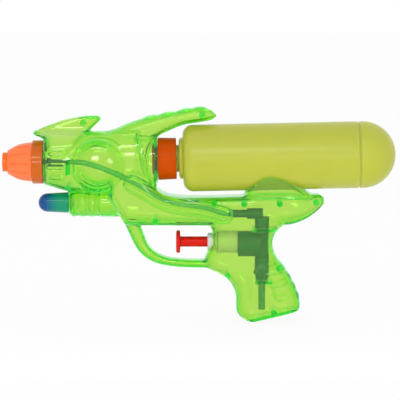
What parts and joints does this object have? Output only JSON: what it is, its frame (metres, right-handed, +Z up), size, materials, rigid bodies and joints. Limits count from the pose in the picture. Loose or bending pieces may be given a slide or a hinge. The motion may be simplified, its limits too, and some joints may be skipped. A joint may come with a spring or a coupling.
{
  "type": "toy water pistol",
  "caption": "Clear moulded water pistol with a fluted nozzle, a lamp-shaped cap, a push trigger on a plunger pump and a screw-in bottle lying along the top.",
  "frame": {"origin": "where the plunger's level axis crosses the upright axis of the valves, inside the grip, at the middle of the hand that holds it", "axes": "-X towards the muzzle, +X towards the bottle's end, +Z up as the pistol is held, +Y to the shooter's right; the halves meet on Y = 0"},
  "size_m": [0.2858, 0.0486, 0.1578],
  "materials": {
    "clear_green": "clear tinted, glossy",
    "orange": "opaque, satin gloss",
    "amber": "slightly cloudy, glossy",
    "pump_blue": "satin",
    "hose_teal": "flexible, cloudy",
    "tube_blue": "flexible, cloudy",
    "milky_white": "natural, milky",
    "lamp_blue": "clear tinted, glossy",
    "trigger_red": "opaque, satin gloss",
    "bottle_yellow": "blown, cloudy",
    "black_rubber": "matt",
    "steel": "bright"
  },
  "bodies": {
    "gun": {"left_shell": "clear_green", "right_shell": "clear_green", "nozzle": "orange", "jet_stem": "pump_blue", "stem_washer": "black_rubber", "hose": "hose_teal", "lamp_cap": "lamp_blue", "pump_barrel": "milky_white", "barrel_washer": "black_rubber", "valve_block": "pump_blue", "outlet_elbow": "pump_blue", "inlet_body": "pump_blue", "dip_tube": "tube_blue", "return_spring": "steel", "outlet_spring": "steel", "bottle_socket": "amber"},
    "plunger_unit": {"trigger": "trigger_red", "plunger": "milky_white", "piston_seal": "black_rubber"},
    "outlet_valve": {"outlet_ball": "steel"},
    "inlet_valve": {"inlet_ball": "steel"},
    "bottle_seal": {"bottle_gasket": "black_rubber"},
    "bottle_body": {"bottle": "bottle_yellow"}
  },
  "joints": [
    {"name": "trigger_slide", "type": "slide", "parent": "gun", "child": "plunger_unit", "axis": [1, 0, 0], "range_m": [0, 0.013], "stiffness_N_per_m": 200, "springref_m": -0.01, "deforming": ["return_spring"]},
    {"name": "outlet_lift", "type": "slide", "parent": "gun", "child": "outlet_valve", "axis": [0, 0, 1], "range_m": [0, 0.0012], "stiffness_N_per_m": 20, "springref_m": -0.004, "deforming": ["outlet_spring"]},
    {"name": "inlet_lift", "type": "slide", "parent": "gun", "child": "inlet_valve", "axis": [0, 0, 1], "range_m": [0, 0.0012]},
    {"name": "bottle_travel", "type": "slide", "parent": "gun", "child": "bottle_seal", "axis": [0.9998, 0, 0.0209], "range_m": [0, 0.00901]},
    {"name": "bottle_turn", "type": "hinge", "parent": "bottle_seal", "child": "bottle_body", "pos_m": [-0.076, 0, 0.0608], "axis": [0.9998, 0, 0.0209], "range_deg": [0, 1080]}
  ],
  "couplings": [
    {"joint": "bottle_travel", "follows": "bottle_turn", "m_per_rad": 0.00047746}
  ]
}
